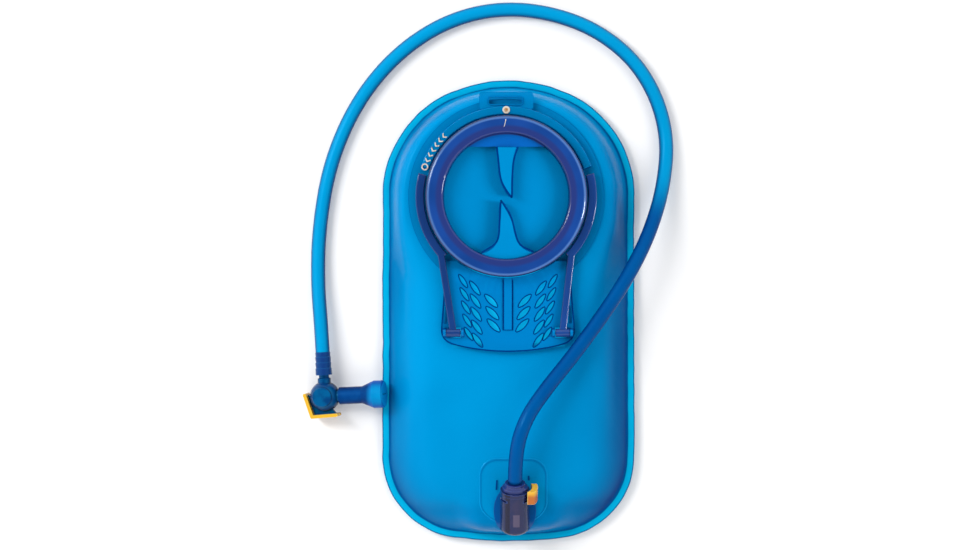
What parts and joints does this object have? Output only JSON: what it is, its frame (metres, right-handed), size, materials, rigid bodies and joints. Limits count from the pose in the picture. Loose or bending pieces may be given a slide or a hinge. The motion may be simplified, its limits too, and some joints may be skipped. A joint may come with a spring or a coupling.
{
  "type": "hydration bladder",
  "caption": "Flat reservoir of two welded clear blue films with a wide fill cap, a leaf-cut handle plate, a quick-release outlet, a long drink hose and a bite valve with a shut-off lever.",
  "frame": {"origin": "on the surface the reservoir lies on, under the middle of the film pillow", "axes": "+Z out of the front film, +Y towards the hang slot, +X to the right seen from the front"},
  "size_m": [0.2606, 0.3801, 0.0574],
  "materials": {
    "film": "clear glossy blue film",
    "clear_blue_plastic": "clear glossy blue moulding",
    "cap_blue": "deep blue glossy moulding",
    "arm_blue": "deep blue glossy moulding",
    "outlet_blue": "smoky deep blue moulding",
    "yellow_plastic": "golden yellow satin moulding",
    "hose_blue": "clear blue hose",
    "silicone_blue": "satin blue silicone",
    "seal": "pale satin seal",
    "mark": "pale printed relief",
    "steel": "bright spring steel"
  },
  "bodies": {
    "reservoir": {"back_film": "film", "front_film": "film", "fill_port_collar": "clear_blue_plastic", "alignment_pip": "mark", "turn_marks": "mark", "port_handle": "clear_blue_plastic", "left_arm_pin": "steel", "right_arm_pin": "steel", "outlet_patch": "film", "outlet_socket": "outlet_blue", "latch_spring": "steel", "poppet_spring": "steel"},
    "left_arm": {"left_dryer_arm": "arm_blue"},
    "right_arm": {"right_dryer_arm": "arm_blue"},
    "cap_seal": {"cap_gasket": "seal"},
    "cap": {"cap_ring": "cap_blue", "cap_window": "clear_blue_plastic"},
    "release": {"release_button": "yellow_plastic", "latch_plate": "steel"},
    "check_valve": {"check_poppet": "seal"},
    "hose_assembly": {"hose_connector": "outlet_blue", "connector_seal": "seal", "drink_hose": "hose_blue", "valve_elbow": "outlet_blue", "elbow_cover": "outlet_blue", "spool_seals": "seal", "bite_valve": "silicone_blue"},
    "shutoff": {"shutoff_spool": "outlet_blue", "shutoff_lever": "yellow_plastic", "lever_web": "outlet_blue"}
  },
  "joints": [
    {"name": "left_arm_swing", "type": "hinge", "parent": "reservoir", "child": "left_arm", "pos_m": [-0.0382, -0.0146, 0.0365], "axis": [1, 0, 0], "range_deg": [0, 60]},
    {"name": "right_arm_swing", "type": "hinge", "parent": "reservoir", "child": "right_arm", "pos_m": [0.037, -0.0146, 0.0365], "axis": [1, 0, 0], "range_deg": [0, 60]},
    {"name": "cap_lift", "type": "slide", "parent": "reservoir", "child": "cap_seal", "axis": [0, 0, 1], "range_m": [0, 0.06]},
    {"name": "cap_turn", "type": "hinge", "parent": "cap_seal", "child": "cap", "pos_m": [-0.0018, 0.0792, 0.043], "axis": [0, 0, 1], "range_deg": [0, 70]},
    {"name": "button_press", "type": "slide", "parent": "reservoir", "child": "release", "axis": [-1, 0, 0], "range_m": [0, 0.0015], "stiffness_N_per_m": 400, "springref_m": -0.001},
    {"name": "hose_pull", "type": "slide", "parent": "reservoir", "child": "hose_assembly", "axis": [0, 0.9397, 0.342], "range_m": [0, 0.014]},
    {"name": "poppet_close", "type": "slide", "parent": "reservoir", "child": "check_valve", "axis": [0, 0.9397, 0.342], "range_m": [0, 0.0028]},
    {"name": "shutoff_turn", "type": "hinge", "parent": "hose_assembly", "child": "shutoff", "pos_m": [-0.1288, -0.06, 0.0108], "axis": [0.1734, 0.0091, -0.9848], "range_deg": [0, 55]}
  ],
  "couplings": [
    {"joint": "poppet_close", "follows": "hose_pull", "ratio": 0.2}
  ]
}
